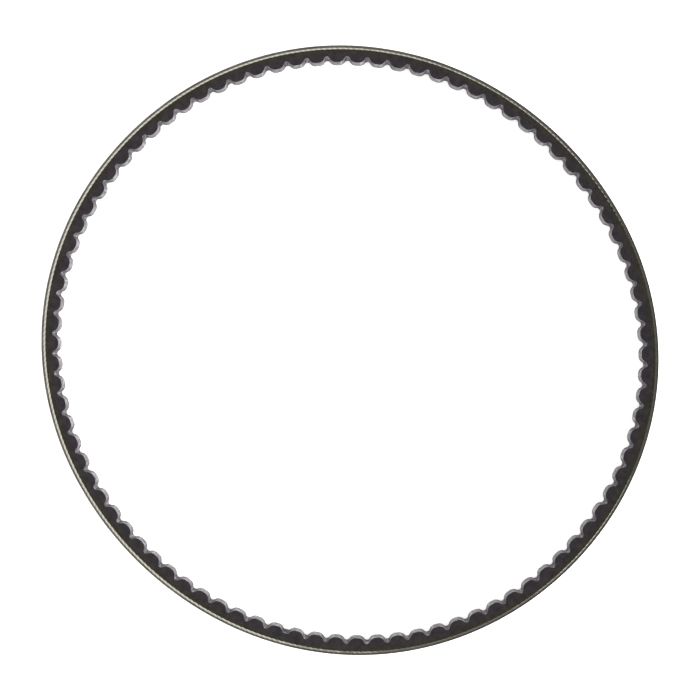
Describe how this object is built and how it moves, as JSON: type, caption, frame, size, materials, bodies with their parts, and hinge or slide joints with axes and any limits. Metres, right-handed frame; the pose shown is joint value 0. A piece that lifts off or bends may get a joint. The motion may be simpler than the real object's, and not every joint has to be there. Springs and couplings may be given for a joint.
{
  "type": "v belt",
  "caption": "Raw-edge cogged V-belt in a free oval loop: fabric back, cord line in adhesion gum, and a notched rubber body lined with fabric, for a small V-pulley drive.",
  "frame": {"origin": "centre of the loop, half-way across the belt", "axes": "+Z along the axis that the belt runs round, from the lower flank to the upper one; +X along the loop's long axis"},
  "size_m": [0.3228, 0.3118, 0.01],
  "materials": {
    "cover_fabric": "rubberised woven fabric, matt, with a fine square weave",
    "adhesion_gum": "cut rubber, satin black",
    "tensile_cord": "cream twisted polyester cord, matt",
    "compression_rubber": "cut rubber full of short cross fibres, matt black",
    "cog_fabric": "rubberised knitted lining, matt grey"
  },
  "bodies": {
    "root": {"cover_fabric_outer": "cover_fabric", "cover_fabric_inner": "cover_fabric", "overcord_gum": "adhesion_gum", "tensile_cord": "tensile_cord", "undercord_gum": "adhesion_gum", "compression_rubber": "compression_rubber", "cog_fabric": "cog_fabric"}
  },
  "joints": []
}
